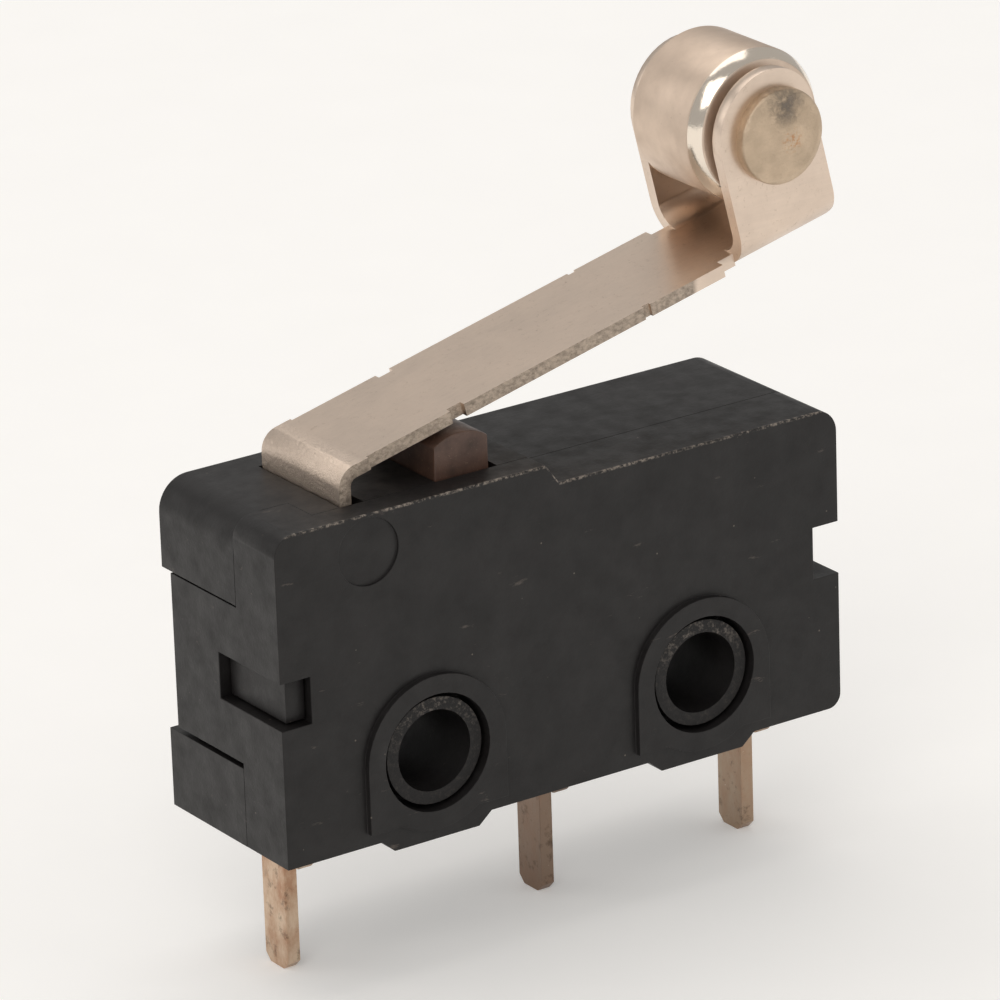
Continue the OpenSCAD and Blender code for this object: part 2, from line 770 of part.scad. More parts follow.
// Rivet that carries the roller
module roller_pin() color(nickel) {
    translate([roller_axis.x, room_mid, roller_axis.y])
        rotate([90, 0, 0])
            rotate_extrude() {
                area([0, -ear_outer], [pin_d / 2, ear_outer]);
                rivet_head_outline();
                mirror([0, 1])
                    rivet_head_outline();
            }
}

// Turned roller with chamfered ends
module roller() color(roller_steel) {
    bore = pin_d / 2 + pin_clearance;
    r = roller_d / 2;
    half = roller_width / 2;
    translate([roller_axis.x, room_mid + roller_shift, roller_axis.y])
        rotate([90, 0, 0])
            rotate_extrude()
                polygon([[bore, -half], [r - roller_chamfer_r, -half], [r, -half + roller_chamfer_w],
                         [r, half - roller_chamfer_w], [r - roller_chamfer_r, half], [bore, half]]);
}

// Front view of a terminal: solder pin, one-sided shoulder and the wide strip above
module terminal_outline() {
    half = pin_width / 2;
    polygon([[-half + pin_chamfer, pin_tip], [half - pin_chamfer, pin_tip], [half, pin_tip + pin_chamfer],
             [half, room_floor], [-half, room_floor], [-half, pin_tip + pin_chamfer]]);
    difference() {
        area([-shoulder_reach, base - shoulder_length], [0, room_floor]);
        corner_loss([-shoulder_reach, base - shoulder_length], shoulder_r, [1, 1]);
    }
}

// Terminal: the pin under the floor, and a strip folded along a middle line above it
module terminal(x, path) {
    along_x(x, x + terminal_sheet)
        terminal_outline();
    along_y(-strip_width / 2, strip_width / 2)
        folded_strip(path, terminal_sheet, strip_bend_r);
}

// Common terminal: its arm ends in the fork that the blade rocks on
module com_terminal() color(tinned_brass) {
    leg_x = com_x + terminal_sheet / 2;
    arm_z = com_arm_top - terminal_sheet / 2;
    prong_x = fork_x - terminal_sheet / 2;
    prong_top = blade_pivot.y + fork_over;
    difference() {
        terminal(com_x, [[leg_x, room_floor], [leg_x, arm_z], [prong_x, arm_z], [prong_x, prong_top]]);
        translate([fork_x - terminal_sheet - over, -fork_slot / 2, com_arm_top + strip_bend_r])
            cube([terminal_sheet + 2 * over, fork_slot, prong_top]);
        // Groove for the knife edge of the blade
        along_y(-strip_width, strip_width)
            translate(blade_pivot - [knife_play, 0])
                polygon([[0, 0], [over, over], [over, -over]]);
    }
}

// Normally open terminal, in the middle
module no_terminal() color(tinned_brass) {
    leg_x = no_x + terminal_sheet / 2;
    arm_z = no_arm_top - terminal_sheet / 2;
    difference() {
        terminal(no_x, [[leg_x, room_floor], [leg_x, arm_z], [contact_x + contact_shelf, arm_z]]);
        translate([contact_x, 0, no_arm_top - terminal_sheet - over])
            cylinder(h = terminal_sheet + 2 * over, r = contact_shank_r);
    }
}

// Normally closed terminal, at the far end
module nc_terminal() color(tinned_brass) {
    leg_x = nc_x + terminal_sheet / 2;
    arm_z = nc_arm_bottom + terminal_sheet / 2;
    difference() {
        terminal(nc_x, [[leg_x, room_floor], [leg_x, arm_z], [contact_x - contact_shelf, arm_z]]);
        translate([contact_x, 0, nc_arm_bottom - over])
            cylinder(h = terminal_sheet + 2 * over, r = contact_shank_r);
    }
}

// Half outline of a domed contact rivet, its head above the sheet
module contact_outline() {
    dome_r = (contact_r * contact_r + contact_dome * contact_dome) / (2 * contact_dome);
    area([0, -terminal_sheet], [contact_shank_r, 0]);
    intersection() {
        area([0, 0], [contact_r, contact_height]);
        union() {
            translate([0, contact_height - dome_r])
                circle(dome_r);
            area([0, 0], [contact_r, contact_height - contact_dome]);
        }
    }
}

// Fixed contact on the middle terminal
module no_contact() color(silver) {
    translate([contact_x, 0, no_arm_top])
        rotate_extrude()
            contact_outline();
}

// Fixed contact on the far terminal
module nc_contact() color(silver) {
    translate([contact_x, 0, nc_arm_bottom])
        rotate([180, 0, 0])
            rotate_extrude()
                contact_outline();
}

// Inner lever between plunger and spring
module inner_lever() color(nickel) {
    difference() {
        along_y(-strip_width / 2, strip_width / 2)
            folded_strip([inner_pivot - [inner_sheet / 2, 0], [spring_tab_x, inner_pivot.y],
                          [spring_tab_x, inner_pivot.y - spring_tab_length]], inner_sheet, strip_bend_r);
        // The spring tab is narrower than the lever
        for (side = [-1, 1])
            translate([spring_tab_x - inner_sheet / 2 - over, side > 0 ? fork_slot / 3 : -fork_slot / 3 - strip_width,
                       inner_pivot.y - spring_tab_length - over])
                cube([2 * over + inner_sheet, strip_width, spring_tab_length + over - inner_sheet]);
        translate([spring_anchor.x - over, 0, spring_anchor.y])
            rotate([0, 90, 0])
                cylinder(h = 2 * over, r = spring_hole_r);
    }
    translate([inner_pivot.x - inner_sheet / 2, room_front - lug_reach, inner_pivot.y - inner_sheet / 2])
        cube([inner_sheet, room_back - room_front + 2 * lug_reach, inner_sheet]);
}

// Plan of the moving blade: two legs with knife edges, joined at the contact end
module blade_plan() {
    tip = contact_x + contact_shelf;
    difference() {
        area([blade_pivot.x + blade_sheet / 2, -strip_width / 2], [tip, strip_width / 2]);
        area([blade_pivot.x - over, -fork_slot / 2], [blade_pivot.x + blade_slot_length, fork_slot / 2]);
        corner_loss([tip, -strip_width / 2], contact_shelf, [-1, 1]);
        corner_loss([tip, strip_width / 2], contact_shelf, [-1, -1]);
        translate([contact_x, 0])
            circle(contact_shank_r);
        translate([spring_foot.x, 0])
            circle(spring_hole_r);
    }
}

// Moving blade
module moving_blade() color(copper) {
    half = blade_sheet / 2;
    translate([0, 0, blade_pivot.y - half])
        linear_extrude(blade_sheet)
            blade_plan();
    for (side = [-1, 1])
        along_y(side > 0 ? fork_slot / 2 : -strip_width / 2, side > 0 ? strip_width / 2 : -fork_slot / 2)
            translate(blade_pivot)
                polygon([[0, 0], [half, half], [half, -half]]);
}

// Double-headed contact rivet in the blade
module moving_contact() color(silver) {
    translate([contact_x, 0, 0]) {
        translate([0, 0, blade_top])
            cylinder(h = moving_top - blade_top, r = contact_r);
        translate([0, 0, moving_bottom])
            cylinder(h = blade_top - blade_sheet - moving_bottom, r = contact_r - contact_margin / 2);
        translate([0, 0, moving_bottom])
            cylinder(h = moving_top - moving_bottom, r = contact_shank_r);
    }
}

function unit(v) = v / norm(v);
function tangent(path, i) = unit(path[min(i + 1, len(path) - 1)] - path[max(i - 1, 0)]);
function flattened(n, t) = unit(n - (n * t) * t);
function carried_normals(path) =
    [for (i = 0, n = flattened([1, 0.01, 0], tangent(path, 0)); i < len(path);
          i = i + 1, n = i < len(path) ? flattened(n, tangent(path, i)) : n) n];

// Round wire swept along a path as one closed mesh
module wire(path, r, sides) {
    normals = carried_normals(path);
    rings = len(path);
    points = [for (i = [0 : rings - 1], k = [0 : sides - 1])
        let (t = tangent(path, i), n = normals[i], b = cross(t, n), a = k * 360 / sides)
            path[i] + r * (cos(a) * n + sin(a) * b)];
    walls = [for (i = [0 : rings - 2], k = [0 : sides - 1])
        let (a = i * sides + k, b = i * sides + (k + 1) % sides)
            [a, a + sides, b + sides, b]];
    first = [for (k = [0 : sides - 1]) k];
    last = [for (k = [sides - 1 : -1 : 0]) (rings - 1) * sides + k];
    polyhedron(points, concat([first], walls, [last]));
}

// Snap spring: a close-wound coil with a hooked tail at each end
module snap_spring() color(spring_steel) {
    translate([spring_anchor.x, 0, spring_anchor.y])
        rotate([0, -spring_tilt, 0])
            wire(spring_path, spring_wire / 2, 6);
}

case();
cover();
plunger();
lever();
roller_pin();
roller();
com_terminal();
no_terminal();
nc_terminal();
no_contact();
nc_contact();
inner_lever();
moving_blade();
moving_contact();
snap_spring();
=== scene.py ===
import json
from math import cos, pi, radians, sin

import bmesh
import bpy
from bpy.props import FloatProperty, FloatVectorProperty, PointerProperty
from mathutils import Matrix, Vector


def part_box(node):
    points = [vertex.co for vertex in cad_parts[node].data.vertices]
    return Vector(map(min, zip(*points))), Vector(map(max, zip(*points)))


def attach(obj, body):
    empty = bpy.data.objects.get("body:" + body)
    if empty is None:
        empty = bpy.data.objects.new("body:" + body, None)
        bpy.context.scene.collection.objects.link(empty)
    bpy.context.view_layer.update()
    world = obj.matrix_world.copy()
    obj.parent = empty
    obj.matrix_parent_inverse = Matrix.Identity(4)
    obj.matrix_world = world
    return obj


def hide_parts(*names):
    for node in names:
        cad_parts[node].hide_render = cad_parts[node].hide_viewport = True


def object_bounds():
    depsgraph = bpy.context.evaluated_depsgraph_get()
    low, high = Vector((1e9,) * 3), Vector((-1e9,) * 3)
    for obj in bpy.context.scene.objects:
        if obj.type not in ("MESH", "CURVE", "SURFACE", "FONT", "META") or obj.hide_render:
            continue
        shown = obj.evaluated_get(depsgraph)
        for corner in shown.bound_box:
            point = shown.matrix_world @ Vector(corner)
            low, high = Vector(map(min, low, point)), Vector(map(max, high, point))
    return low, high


bl_info = {
    "name": "Lever micro switch",
    "version": (1, 0, 0),
    "blender": (4, 5, 0),
    "location": "3D View > Sidebar > Micro switch",
    "description": "Finishes and fine shapes of a lever micro switch with a roller",
    "category": "Object",
}

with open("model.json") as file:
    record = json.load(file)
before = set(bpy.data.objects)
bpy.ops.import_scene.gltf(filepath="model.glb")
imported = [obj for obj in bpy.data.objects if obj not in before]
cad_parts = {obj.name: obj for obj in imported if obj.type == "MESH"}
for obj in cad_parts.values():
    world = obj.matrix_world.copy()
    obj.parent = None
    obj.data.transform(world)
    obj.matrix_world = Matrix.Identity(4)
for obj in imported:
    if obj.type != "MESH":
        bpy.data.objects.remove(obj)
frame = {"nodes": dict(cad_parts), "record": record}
CAD_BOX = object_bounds()
MM = 0.001

# Slope of the lever's arm, and the axis of its roller
ARM_ANGLE = radians(13.3)
ROLLER_LOW, ROLLER_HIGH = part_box("roller")
ROLLER_AXIS = (ROLLER_LOW + ROLLER_HIGH) / 2
PIN_LOW, PIN_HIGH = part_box("roller_pin")
FOOT_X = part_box("lever")[0].x
COVER_LOW, COVER_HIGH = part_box("cover")

# Shells: mounting holes, raised pads, and the step in the top past the plunger
HOLE_PITCH = 9.5 * MM
BOSS_R = 1.75 * MM
PAD_RISE = 0.2 * MM
FRONT = COVER_LOW.y + PAD_RISE
STEP_START, STEP_END = -0.55 * MM, -0.1 * MM
TOP_DROP = 0.62 * MM

# Rivet and roller
PIN_R = 1.0 * MM
PIN_CLEARANCE = 0.03 * MM
HEAD_HEIGHT = 0.42 * MM


def linear(code):
    """Turns an sRGB hex colour into the linear one that shaders take."""
    parts = [int(code[i:i + 2], 16) / 255 for i in (1, 3, 5)]
    return [c / 12.92 if c <= 0.04045 else ((c + 0.055) / 1.055) ** 2.4 for c in parts]


class BodySettings(bpy.types.PropertyGroup):
    moulding: FloatVectorProperty(
        name="Moulding", description="Colour of the two black shells", subtype="COLOR",
        default=linear("#151313"), min=0, max=1)
    button: FloatVectorProperty(
        name="Button", description="Colour of the plunger", subtype="COLOR",
        default=linear("#5b4236"), min=0, max=1)
    edge: FloatProperty(
        name="Edge radius", description="Rounding of the moulded edges", unit="LENGTH",
        default=0.05 * MM, min=0.01 * MM, max=0.1 * MM)
    spark_grain: FloatProperty(
        name="Mould grain", description="Size of the grain that the mould leaves", unit="LENGTH",
        default=0.09 * MM, min=0.03 * MM, max=0.4 * MM)


class SteelSettings(bpy.types.PropertyGroup):
    sheet: FloatVectorProperty(
        name="Sheet", description="Colour of the lever sheet", subtype="COLOR",
        default=linear("#e6d3c2"), min=0, max=1)
    sheared: FloatVectorProperty(
        name="Sheared edge", description="Colour of the cut edges", subtype="COLOR",
        default=linear("#c4b4a4"), min=0, max=1)
    edge: FloatProperty(
        name="Edge radius", description="Rounding of the tumbled edges", unit="LENGTH",
        default=0.035 * MM, min=0.01 * MM, max=0.08 * MM)


class RollerSettings(bpy.types.PropertyGroup):
    track: FloatVectorProperty(
        name="Track", description="Colour of the satin running face", subtype="COLOR",
        default=linear("#dfcbb9"), min=0, max=1)
    polish: FloatVectorProperty(
        name="Chamfer", description="Colour of the bright turned chamfers", subtype="COLOR",
        default=linear("#f1e5d6"), min=0, max=1)
    head: FloatVectorProperty(
        name="Rivet head", description="Colour of the riveted pin", subtype="COLOR",
        default=linear("#d2bca3"), min=0, max=1)


class StageSettings(bpy.types.PropertyGroup):
    floor: FloatVectorProperty(
        name="Floor", description="Colour of the floor", subtype="COLOR",
        default=linear("#f6f5f3"), min=0, max=1)
    lamps: FloatProperty(
        name="Lamps", description="Strength of all lamps", default=1.0, min=0.1, max=4)


def add(tree, kind, links=(), sockets=(), **settings):
    """Adds a shader node with its settings, socket values and incoming links."""
    node = tree.nodes.new("ShaderNode" + kind)
    for name, value in settings.items():
        setattr(node, name, value)
    for key, value in dict(sockets).items():
        node.inputs[key].default_value = value
    for key, source in dict(links).items():
        tree.links.new(source, node.inputs[key])
    return node


def blank(name):
    """A new material with a shader, its output and Object coordinates."""
    material = bpy.data.materials.new(name)
    material.use_nodes = True
    tree = material.node_tree
    tree.nodes.clear()
    shader = add(tree, "BsdfPrincipled")
    add(tree, "OutputMaterial", {"Surface": shader.outputs[0]})
    place = add(tree, "TexCoord").outputs["Object"]
    return material, tree, shader, place


def noise(tree, place, size, detail=4, rough=0.6, stretch=None):
    """Cloudy pattern with spots of about the given size in metres."""
    if stretch:
        along_arm = add(tree, "Mapping", {"Vector": place},
                        {"Rotation": (0, ARM_ANGLE, 0), "Scale": stretch})
        place = along_arm.outputs[0]
    found = add(tree, "TexNoise", {"Vector": place},
                {"Scale": 1 / size, "Detail": detail, "Roughness": rough})
    return found.outputs["Fac"]


def ramp(tree, value, low, high, dark=0.0, bright=1.0):
    """Value between two ends, spread to a new span."""
    spread = add(tree, "MapRange", {"Value": value},
                 {"From Min": low, "From Max": high, "To Min": dark, "To Max": bright})
    return spread.outputs[0]


def tint(tree, share, first, second):
    """Mix of two colours; either may be a socket."""
    mixer = add(tree, "Mix", data_type="RGBA")
    tree.links.new(share, mixer.inputs[0])
    for socket, colour in ((mixer.inputs[6], first), (mixer.inputs[7], second)):
        if isinstance(colour, bpy.types.NodeSocket):
            tree.links.new(colour, socket)
        else:
            socket.default_value = (*colour[:3], 1)
    return mixer.outputs[2]


def times(tree, first, second, how="MULTIPLY"):
    """Sum, product or other calculation of two values."""
    worker = add(tree, "Math", operation=how)
    for socket, value in zip(worker.inputs, (first, second)):
        if isinstance(value, bpy.types.NodeSocket):
            tree.links.new(value, socket)
        else:
            socket.default_value = value
    return worker.outputs[0]


def relief(tree, shader, parts):
    """Stacks bumps, each a height pattern and its depth in metres."""
    last = None
    for height, depth in parts:
        bump = add(tree, "Bump", {"Height": height}, {"Strength": 1.0, "Distance": depth})
        if last:
            tree.links.new(last, bump.inputs["Normal"])
        last = bump.outputs[0]
    tree.links.new(last, shader.inputs["Normal"])


def moulded_pbt(name, colour, grain, worn=1.0):
    """Glass-filled PBT from a spark-eroded mould: matt black with a faint brown bloom.

    Pale scuffs, dust and nicked flash along the upper front edge make it look handled.
    """
    material, tree, shader, place = blank(name)
    spots = noise(tree, place, 1.6 * MM, 6, 0.65)
    bloom = tint(tree, ramp(tree, spots, 0.42, 0.72), colour, [c * 1.55 + 0.003 for c in colour])
    # Pale scuffs: short streaks that run along the body
    streak = noise(tree, place, 0.5 * MM, 5, 0.7, (0.35, 1.0, 1.3))
    scuff = ramp(tree, streak, 0.66, 0.74, 0, 0.35 * worn)
    bloom = tint(tree, scuff, bloom, linear("#7d7168"))
    # Dust in the grain: single bright specks
    dust = add(tree, "TexVoronoi", {"Vector": place}, {"Scale": 1 / (0.8 * MM)})
    speck = ramp(tree, dust.outputs["Distance"], 0.02, 0.045, 0.3 * worn, 0)
    bloom = tint(tree, speck, bloom, linear("#a89b8e"))
    # Nicked flash along the upper front edge of the cover
    axes = add(tree, "SeparateXYZ", {"Vector": place})
    near_front = ramp(tree, axes.outputs["Y"], FRONT + 0.08 * MM, FRONT + 0.03 * MM)
    # The top steps down by the slope past the plunger
    edge_height = ramp(tree, axes.outputs["X"], STEP_START, STEP_END,
                       COVER_HIGH.z, COVER_HIGH.z - TOP_DROP)
    below_edge = times(tree, axes.outputs["Z"], edge_height, "SUBTRACT")
    near_top = ramp(tree, below_edge, -0.09 * MM, -0.04 * MM)
    nick = ramp(tree, noise(tree, place, 0.16 * MM, 5, 0.8), 0.47, 0.60)
    edge = times(tree, times(tree, near_front, near_top), nick)
    bloom = tint(tree, edge, bloom, linear("#8f857b"))
    tree.links.new(bloom, shader.inputs["Base Color"])
    gloss = ramp(tree, noise(tree, place, 0.7 * MM, 5, 0.6), 0.3, 0.75, 0.36, 0.58)
    tree.links.new(gloss, shader.inputs["Roughness"])
    shader.inputs["IOR"].default_value = 1.53
    shader.inputs["Specular IOR Level"].default_value = 0.34
    relief(tree, shader, [
        (noise(tree, place, grain, 3, 0.6), 0.005 * MM),
        (noise(tree, place, 1.1 * MM, 3, 0.5), 0.02 * MM),
        (streak, 0.006 * MM),
    ])
    return material


def rubbed_boss_rim_with_painted_highlight(name, colour, grain):
    """The same PBT where a screw head has rubbed it: a rough paler speckle on the raised boss, with a
    painted highlight that makes it strongest towards the top.
    """
    material, tree, shader, place = blank(name)
    rub = ramp(tree, noise(tree, place, 0.16 * MM, 6, 0.8), 0.50, 0.68)
    axes = add(tree, "SeparateXYZ", {"Vector": place})
    # Painted highlight: the pale speckle grows towards the top of the boss, where light from above
    # falls
    upper = ramp(tree, axes.outputs["Z"], 0.2 * MM, 1.2 * MM, 0.12, 0.8)
    worn = tint(tree, times(tree, rub, upper), colour, linear("#7d756d"))
    tree.links.new(worn, shader.inputs["Base Color"])
    shader.inputs["Specular IOR Level"].default_value = 0.34
    shader.inputs["Roughness"].default_value = 0.6
    shader.inputs["IOR"].default_value = 1.53
    relief(tree, shader, [(noise(tree, place, grain, 4, 0.7), 0.02 * MM)])
    return material


def rolled_steel(name, colour, cut):
    """Cold rolled stainless sheet: warm satin silver with rolling lines along the arm.

    The cut edges are torn, grey and mottled.
    """
    material, tree, shader, place = blank(name)
    shader.inputs["Metallic"].default_value = 1.0
    lines = noise(tree, place, 0.12 * MM, 4, 0.6, (0.06, 1.0, 1.0))
    cloud = noise(tree, place, 2.2 * MM, 6, 0.7)
    face = tint(tree, ramp(tree, cloud, 0.35, 0.7), colour, [c * 0.88 for c in colour])
    face = tint(tree, ramp(tree, lines, 0.35, 0.75, 0, 0.25), face, [c * 0.75 for c in colour])
    # Tarnish flecks
    flecks = ramp(tree, noise(tree, place, 0.20 * MM, 5, 0.85), 0.58, 0.74, 0, 0.55)
    face = tint(tree, flecks, face, linear("#8d7458"))
    # Cut edges face along Y or along the arm: mottled with burrs
    torn = noise(tree, place, 0.11 * MM, 6, 0.8, (0.6, 1.0, 0.9))
    side = add(tree, "SeparateXYZ", {"Vector": add(tree, "NewGeometry").outputs["True Normal"]})
    on_edge = ramp(tree, times(tree, side.outputs["Y"], 0, "ABSOLUTE"), 0.6, 0.8)
    axes = add(tree, "SeparateXYZ", {"Vector": place})
    # The faces of the ears look the same way as the cut edges but are rolled sheet
    beyond = ramp(tree, axes.outputs["X"], ROLLER_AXIS.x - 2.9 * MM, ROLLER_AXIS.x - 2.7 * MM, 1, 0)
    on_edge = times(tree, on_edge, beyond)
    rough_edge = tint(tree, ramp(tree, torn, 0.4, 0.65), cut, [c * 0.45 for c in cut])
    tree.links.new(tint(tree, on_edge, face, rough_edge), shader.inputs["Base Color"])
    satin = ramp(tree, cloud, 0.3, 0.7, 0.27, 0.40)
    sum_rough = times(tree, satin, times(tree, on_edge, 0.12), "ADD")
    tree.links.new(sum_rough, shader.inputs["Roughness"])
    # The outside of the foot's bend is worn and finely wrinkled
    wrinkled = ramp(tree, axes.outputs["X"], FOOT_X + 0.95 * MM, FOOT_X + 0.55 * MM)
    relief(tree, shader, [
        (times(tree, noise(tree, place, 0.13 * MM, 5, 0.75), wrinkled), 0.03 * MM),
        (lines, 0.0015 * MM),
        (noise(tree, place, 1.6 * MM, 2, 0.5), 0.006 * MM),
        (times(tree, torn, on_edge), 0.03 * MM),
    ])
    return material


def ground_track(name, colour):
    """Turned and nickel plated steel, tumbled: an even satin face with faint turning rings."""
    material, tree, shader, place = blank(name)
    shader.inputs["Metallic"].default_value = 1.0
    rings = noise(tree, place, 0.10 * MM, 3, 0.6, (0.05, 1.0, 0.05))
    cloud = noise(tree, place, 1.2 * MM, 5, 0.6)
    face = tint(tree, ramp(tree, cloud, 0.35, 0.7), colour, [c * 0.84 for c in colour])
    specks = ramp(tree, noise(tree, place, 0.16 * MM, 3, 0.8), 0.70, 0.76, 0, 0.6)
    tree.links.new(tint(tree, specks, face, linear("#7a6247")), shader.inputs["Base Color"])
    tree.links.new(ramp(tree, cloud, 0.3, 0.7, 0.40, 0.52), shader.inputs["Roughness"])
    relief(tree, shader, [(rings, 0.002 * MM), (cloud, 0.008 * MM)])
    return material


def polished_chamfer(name, colour):
    """The chamfer of the same roller, cut with a sharp tool: a bright mirror with fine scratches."""
    material, tree, shader, place = blank(name)
    shader.inputs["Metallic"].default_value = 1.0
    shader.inputs["Base Color"].default_value = (*colour, 1)
    marks = noise(tree, place, 0.10 * MM, 4, 0.7)
    tree.links.new(ramp(tree, marks, 0.35, 0.7, 0.06, 0.18), shader.inputs["Roughness"])
    relief(tree, shader, [(marks, 0.003 * MM)])
    return material


def headed_rivet(name, colour):
    """Headed steel pin, nickel plated: a wrinkled face with a rust stain and a grey rubbed patch."""
    material, tree, shader, place = blank(name)
    shader.inputs["Metallic"].default_value = 1.0
    centred = add(tree, "VectorMath", {0: place}, {1: ROLLER_AXIS}, operation="SUBTRACT").outputs[0]
    wrinkle = noise(tree, centred, 0.30 * MM, 6, 0.7)
    cloud = noise(tree, centred, 0.9 * MM, 4, 0.6)
    face = tint(tree, ramp(tree, cloud, 0.35, 0.7), colour, [c * 0.78 for c in colour])
    # Rust stain right of the middle
    spot = add(tree, "VectorMath", {0: centred}, {1: (0.30 * MM, -2.7 * MM, -0.15 * MM)},
               operation="DISTANCE")
    stain = times(tree, ramp(tree, spot.outputs["Value"], 0.10 * MM, 0.45 * MM, 1, 0),
                  ramp(tree, noise(tree, centred, 0.12 * MM, 3, 0.7), 0.48, 0.6))
    face = tint(tree, times(tree, stain, 0.7), face, linear("#b8722f"))
    # Grey rubbed patch at the upper edge
    patch = add(tree, "VectorMath", {0: centred}, {1: (0.05 * MM, -2.7 * MM, 1.0 * MM)},
                operation="DISTANCE")
    rubbed = times(tree, ramp(tree, patch.outputs["Value"], 0.2 * MM, 0.75 * MM, 1, 0),
                   ramp(tree, wrinkle, 0.42, 0.6))
    face = tint(tree, times(tree, rubbed, 0.75), face, linear("#77726e"))
    tree.links.new(face, shader.inputs["Base Color"])
    tree.links.new(ramp(tree, cloud, 0.3, 0.7, 0.28, 0.42), shader.inputs["Roughness"])
    relief(tree, shader, [(wrinkle, 0.07 * MM), (times(tree, wrinkle, rubbed), 0.10 * MM)])
    return material


def thermoset_button(name, colour):
    """Brown phenolic, compression moulded: dull, with darker flow clouds and pale specks."""
    material, tree, shader, place = blank(name)
    cloud = noise(tree, place, 0.6 * MM, 5, 0.65)
    face = tint(tree, ramp(tree, cloud, 0.35, 0.7), colour, [c * 0.5 for c in colour])
    fine = ramp(tree, noise(tree, place, 0.12 * MM, 3, 0.8), 0.62, 0.74, 0, 0.5)
    tree.links.new(tint(tree, fine, face, linear("#a08672")), shader.inputs["Base Color"])
    shader.inputs["IOR"].default_value = 1.55
    tree.links.new(ramp(tree, cloud, 0.3, 0.7, 0.38, 0.52), shader.inputs["Roughness"])
    relief(tree, shader, [(noise(tree, place, 0.10 * MM, 3, 0.6), 0.006 * MM)])
    return material


def tinned_brass(name, dull, warm):
    """Dull tinned brass: brown tarnish, coppery where the tin is thin, and white flux specks."""
    material, tree, shader, place = blank(name)
    shader.inputs["Metallic"].default_value = 1.0
    cloud = noise(tree, place, 0.8 * MM, 6, 0.7, (1.0, 1.0, 0.5))
    bare = linear("#a5714f")
    face = tint(tree, ramp(tree, cloud, 0.4, 0.62, 0.1, 0.75 * warm + 0.15), dull, bare)
    dark = ramp(tree, noise(tree, place, 0.4 * MM, 5, 0.7), 0.55, 0.72, 0, 0.7)
    face = tint(tree, dark, face, linear("#3f3026"))
    flux = ramp(tree, noise(tree, place, 0.16 * MM, 4, 0.8), 0.68, 0.74, 0, 0.8)
    tree.links.new(tint(tree, flux, face, linear("#dcd2c6")), shader.inputs["Base Color"])
    tree.links.new(ramp(tree, cloud, 0.3, 0.7, 0.30, 0.5), shader.inputs["Roughness"])
    relief(tree, shader, [(cloud, 0.02 * MM), (noise(tree, place, 0.15 * MM, 4, 0.7), 0.008 * MM)])
    return material


def plain_metal(name, code, size, low, high):
    """Sheet, wire or rivet metal of the inner pieces: soft clouds of tarnish and a fine grain."""
    material, tree, shader, place = blank(name)
    shader.inputs["Metallic"].default_value = 1.0
    colour = linear(code)
    cloud = noise(tree, place, size, 5, 0.6)
    tree.links.new(tint(tree, ramp(tree, cloud, 0.35, 0.7), colour, [c * 0.7 for c in colour]),
                   shader.inputs["Base Color"])
    tree.links.new(ramp(tree, cloud, 0.3, 0.7, low, high), shader.inputs["Roughness"])
    relief(tree, shader, [(noise(tree, place, 0.1 * MM, 3, 0.6), 0.003 * MM)])
    return material


def softened(node, name, radius, *materials):
    """Copy of a CAD node with its edges rounded, as tumbling or a worn mould leaves them."""
    shape = bmesh.new()
    shape.from_mesh(frame["nodes"][node].data)
    bmesh.ops.remove_doubles(shape, verts=shape.verts, dist=0.0002 * MM)
    bmesh.ops.dissolve_limit(shape, angle_limit=radians(0.5), verts=shape.verts, edges=shape.edges)
    sharp = [e for e in shape.edges if len(e.link_faces) == 2 and e.calc_face_angle() > radians(24)]
    bmesh.ops.bevel(shape, geom=sharp, offset=radius, offset_type="OFFSET", affect="EDGES",
                    segments=2, profile=0.5, clamp_overlap=True, material=-1)
    return finished(shape, name, materials, node)


def finished(shape, name, materials, node):
    """Makes the object of a finished mesh and lets it stand for its CAD node."""
    for face in shape.faces:
        face.smooth = True
    for edge in shape.edges:
        edge.smooth = len(edge.link_faces) == 2 and edge.calc_face_angle() < radians(34)
    mesh = bpy.data.meshes.new(name)
    shape.to_mesh(mesh)
    shape.free()
    for material in materials:
        mesh.materials.append(material)
    piece = bpy.data.objects.new(name, mesh)
    bpy.context.scene.collection.objects.link(piece)
    # Long flat faces keep straight reflections
    level = piece.modifiers.new("even normals", "WEIGHTED_NORMAL")
    level.keep_sharp = True
    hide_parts(node)
    bodies = frame["record"]["behaviour"]["bodies"]
    body = next(name for name, members in bodies.items() if node in members)
    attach(piece, body)
    return piece


def turned(profile, steps=144):
    """Closed ring of a profile (radius, place along the pin) spun about the roller's axis."""
    shape = bmesh.new()
    corners = [shape.verts.new((r, y, 0)) for r, y in profile]
    edges = [shape.edges.new((a, b)) for a, b in zip(corners, corners[1:])]
    bmesh.ops.spin(shape, geom=corners + edges, cent=(0, 0, 0), axis=(0, 1, 0), dvec=(0, 0, 0),
                   angle=2 * pi, steps=steps, use_merge=True, use_duplicate=False)
    bmesh.ops.remove_doubles(shape, verts=shape.verts, dist=0.0005 * MM)
    bmesh.ops.recalc_face_normals(shape, faces=shape.faces)
    bmesh.ops.translate(shape, vec=(ROLLER_AXIS.x, 0, ROLLER_AXIS.z), verts=shape.verts)
    return shape


def arc(centre, radius, start, end, count):
    """Points on a small arc of a profile; angles in degrees."""
    return [(centre[0] + radius * cos(radians(start + (end - start) * i / count)),
             centre[1] + radius * sin(radians(start + (end - start) * i / count)))
            for i in range(count + 1)]


